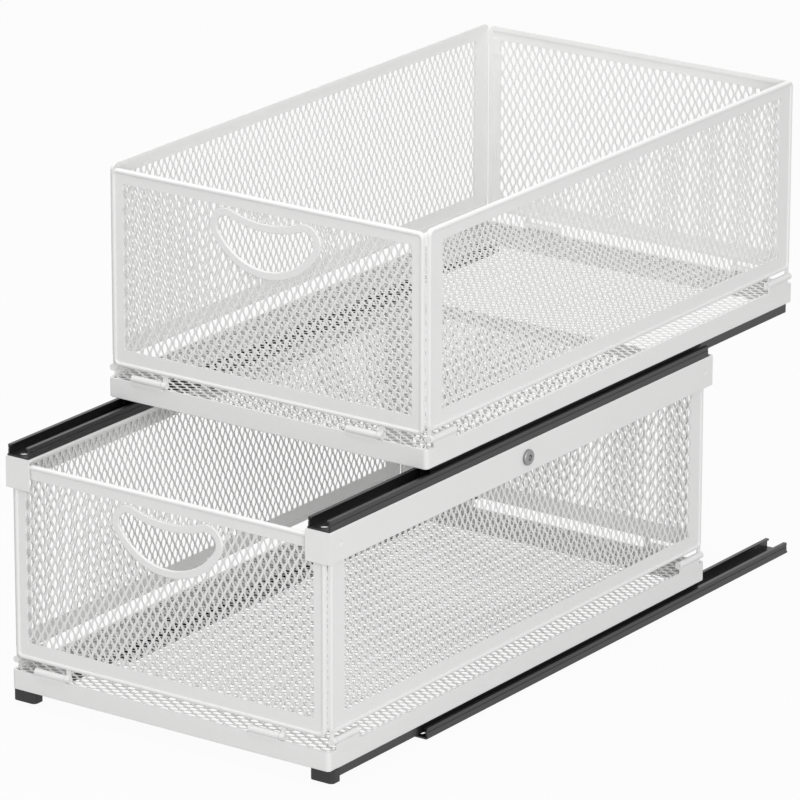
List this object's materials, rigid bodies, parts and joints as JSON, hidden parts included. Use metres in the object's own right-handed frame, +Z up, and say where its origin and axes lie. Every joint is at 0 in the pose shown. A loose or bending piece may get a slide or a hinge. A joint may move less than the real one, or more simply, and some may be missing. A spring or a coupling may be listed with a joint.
{
  "type": "pull-out cabinet basket",
  "caption": "Two-tier pull-out basket of white expanded metal for a kitchen cabinet: folding panels on a flat tray, black ball-bearing slides and hand holes in the front panels.",
  "frame": {"origin": "centre of the bounding box on the cabinet floor, with the lower basket pulled forward as in the picture", "axes": "+X to the right seen from the front, -Y to the front where the baskets are pulled, +Z up"},
  "size_m": [0.2598, 0.54, 0.3385],
  "materials": {
    "white_paint": "satin powder coat",
    "black_paint": "satin",
    "bright_steel": "satin",
    "zinc_steel": "zinc plated",
    "black_plastic": "matt"
  },
  "bodies": {
    "base_rails": {"base_rail_left": "black_paint", "base_rail_right": "black_paint"},
    "lower_ball_cage": {"lower_ball_cages": "bright_steel", "lower_slide_balls": "bright_steel"},
    "upper_ball_cage": {"upper_ball_cages": "bright_steel", "upper_slide_balls": "bright_steel"},
    "lower_basket": {"lower_tray_rim": "white_paint", "lower_tray_mesh": "white_paint", "lower_hinge_barrels": "white_paint", "lower_left_panel_frame": "white_paint", "lower_left_panel_mesh": "white_paint", "lower_right_panel_frame": "white_paint", "lower_right_panel_mesh": "white_paint", "lower_side_hinge_pins": "bright_steel", "lower_runner_left": "black_paint", "lower_runner_right": "black_paint", "lower_runner_rivets": "black_paint", "lower_runner_stops": "black_plastic", "carrier_left": "white_paint", "carrier_right": "white_paint", "carrier_screws": "zinc_steel", "carrier_nuts": "zinc_steel", "top_rail_left": "black_paint", "top_rail_right": "black_paint", "top_rail_rivets": "black_paint"},
    "upper_basket": {"upper_tray_rim": "white_paint", "upper_tray_mesh": "white_paint", "upper_hinge_barrels": "white_paint", "upper_runner_left": "black_paint", "upper_runner_right": "black_paint", "upper_runner_rivets": "black_paint"},
    "lower_front_panel": {"lower_front_panel_frame": "white_paint", "lower_front_panel_mesh": "white_paint", "lower_front_hinge_pins": "bright_steel", "lower_front_corner_clips": "white_paint", "lower_hand_hole_ring": "white_paint"},
    "lower_back_panel": {"lower_back_panel_frame": "white_paint", "lower_back_panel_mesh": "white_paint", "lower_back_hinge_pins": "bright_steel", "lower_back_corner_clips": "white_paint"},
    "upper_front_panel": {"upper_front_panel_frame": "white_paint", "upper_front_panel_mesh": "white_paint", "upper_front_hinge_pins": "bright_steel", "upper_front_corner_clips": "white_paint", "upper_hand_hole_ring": "white_paint"},
    "upper_back_panel": {"upper_back_panel_frame": "white_paint", "upper_back_panel_mesh": "white_paint", "upper_back_hinge_pins": "bright_steel", "upper_back_corner_clips": "white_paint"},
    "upper_left_panel": {"upper_left_panel_frame": "white_paint", "upper_left_panel_mesh": "white_paint", "upper_left_hinge_pins": "bright_steel"},
    "upper_right_panel": {"upper_right_panel_frame": "white_paint", "upper_right_panel_mesh": "white_paint", "upper_right_hinge_pins": "bright_steel"}
  },
  "joints": [
    {"name": "lower_slide", "type": "slide", "parent": "base_rails", "child": "lower_basket", "axis": [0, -1, 0], "range_m": [-0.0947, 0.145]},
    {"name": "lower_cage_slide", "type": "slide", "parent": "base_rails", "child": "lower_ball_cage", "axis": [0, -1, 0], "range_m": [-0.048, 0.073]},
    {"name": "upper_slide", "type": "slide", "parent": "lower_basket", "child": "upper_basket", "axis": [0, -1, 0], "range_m": [0, 0.355]},
    {"name": "upper_cage_slide", "type": "slide", "parent": "lower_basket", "child": "upper_ball_cage", "axis": [0, -1, 0], "range_m": [0, 0.178]},
    {"name": "lower_front_fold", "type": "hinge", "parent": "lower_basket", "child": "lower_front_panel", "pos_m": [0, -0.2676, 0.0269], "axis": [-1, 0, 0], "range_deg": [0, 90]},
    {"name": "lower_back_fold", "type": "hinge", "parent": "lower_basket", "child": "lower_back_panel", "pos_m": [0, 0.1626, 0.0269], "axis": [1, 0, 0], "range_deg": [0, 90]},
    {"name": "upper_front_fold", "type": "hinge", "parent": "upper_basket", "child": "upper_front_panel", "pos_m": [0, -0.1626, 0.1972], "axis": [-1, 0, 0], "range_deg": [0, 90]},
    {"name": "upper_back_fold", "type": "hinge", "parent": "upper_basket", "child": "upper_back_panel", "pos_m": [0, 0.2676, 0.1972], "axis": [1, 0, 0], "range_deg": [0, 90]},
    {"name": "upper_left_fold", "type": "hinge", "parent": "upper_basket", "child": "upper_left_panel", "pos_m": [-0.1256, 0.0525, 0.2005], "axis": [0, 1, 0], "range_deg": [0, 90]},
    {"name": "upper_right_fold", "type": "hinge", "parent": "upper_basket", "child": "upper_right_panel", "pos_m": [0.1256, 0.0525, 0.2005], "axis": [0, -1, 0], "range_deg": [0, 88]}
  ],
  "couplings": [
    {"joint": "lower_cage_slide", "follows": "lower_slide", "ratio": 0.5},
    {"joint": "upper_cage_slide", "follows": "upper_slide", "ratio": 0.5}
  ]
}
